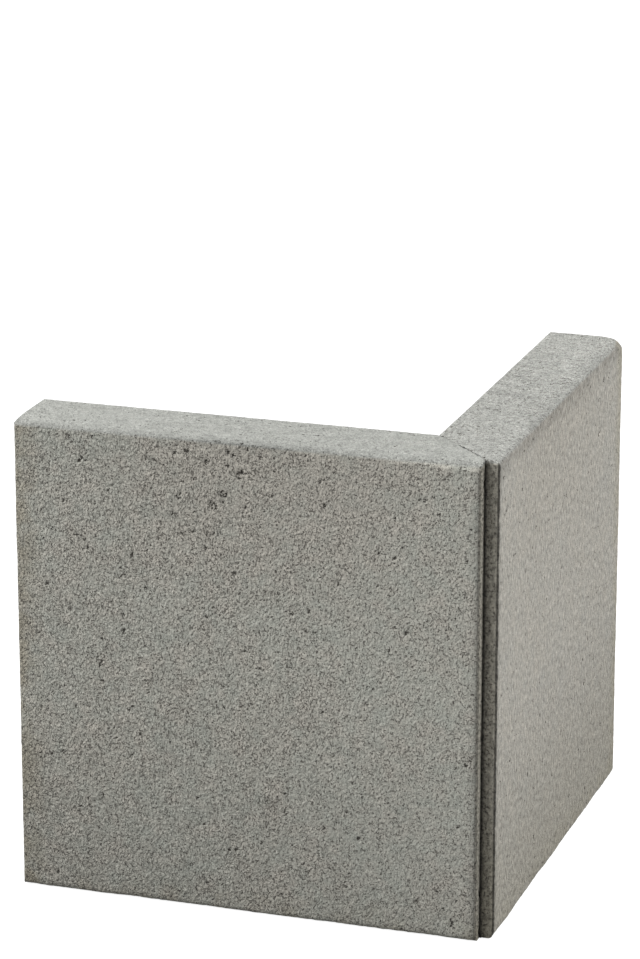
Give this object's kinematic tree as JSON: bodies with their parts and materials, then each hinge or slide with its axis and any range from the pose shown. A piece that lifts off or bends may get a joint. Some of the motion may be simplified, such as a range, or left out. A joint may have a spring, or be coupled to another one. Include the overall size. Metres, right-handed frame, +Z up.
{
  "type": "l-shaped corner block",
  "caption": "Upright concrete corner block for edging and low walls: two mitred slabs meet in a right angle, with a rounded outer top edge and a square rebate down the outer corner.",
  "frame": {"origin": "middle of the square footprint, on the ground", "axes": "+Z up; the left slab's outer face looks along -Y, the right slab's outer face looks along +X, and the outer corner is at +X -Y"},
  "size_m": [0.4, 0.4, 0.4],
  "materials": {
    "left_concrete": "grey concrete, matt, sandy, with dense fine pores",
    "right_concrete": "grey concrete, matt, with a smoother outer face and a grainy top"
  },
  "bodies": {
    "root": {"left_slab": "left_concrete", "right_slab": "right_concrete"}
  },
  "joints": []
}
